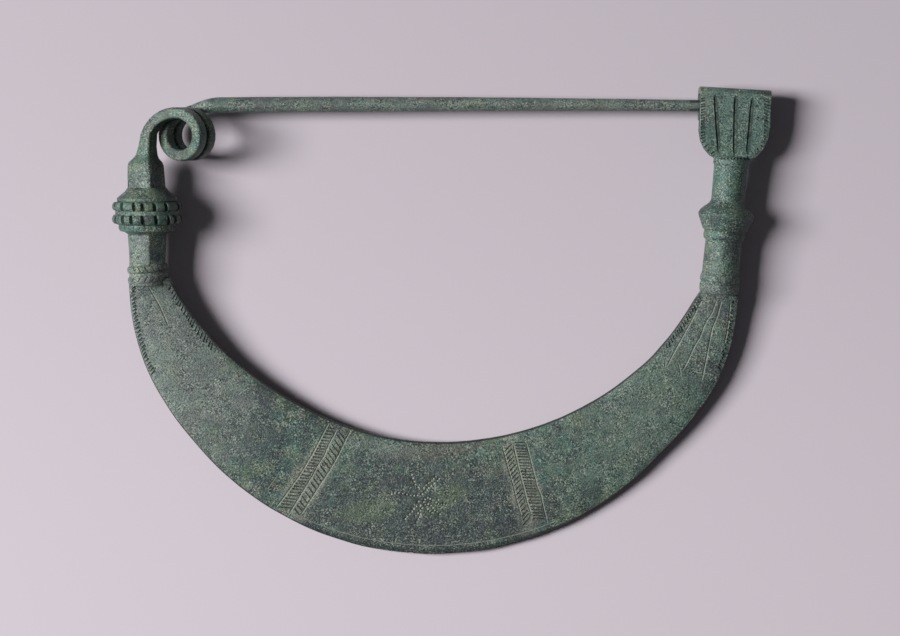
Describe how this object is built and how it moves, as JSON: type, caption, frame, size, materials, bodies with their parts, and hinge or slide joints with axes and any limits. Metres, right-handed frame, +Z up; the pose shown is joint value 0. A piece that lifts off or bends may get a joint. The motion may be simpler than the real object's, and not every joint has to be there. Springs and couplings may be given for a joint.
{
  "type": "fibula brooch",
  "caption": "Bronze fibula brooch lying on its back: flat engraved crescent bow, two moulded arms, coiled spring, straight pin, and a fluted catch plate folded into a hook for the pin.",
  "frame": {"origin": "centre of the bounding box, on the surface that the brooch lies on", "axes": "+X along the pin from spring to catch, +Y from the bow's outer edge towards the pin, +Z up, out of the brooch's front"},
  "size_m": [0.1448, 0.103, 0.0156],
  "materials": {
    "patinated_bronze": "matt grey-green patina with a soft rubbed sheen"
  },
  "bodies": {
    "root": {"fibula": "patinated_bronze"}
  },
  "joints": []
}
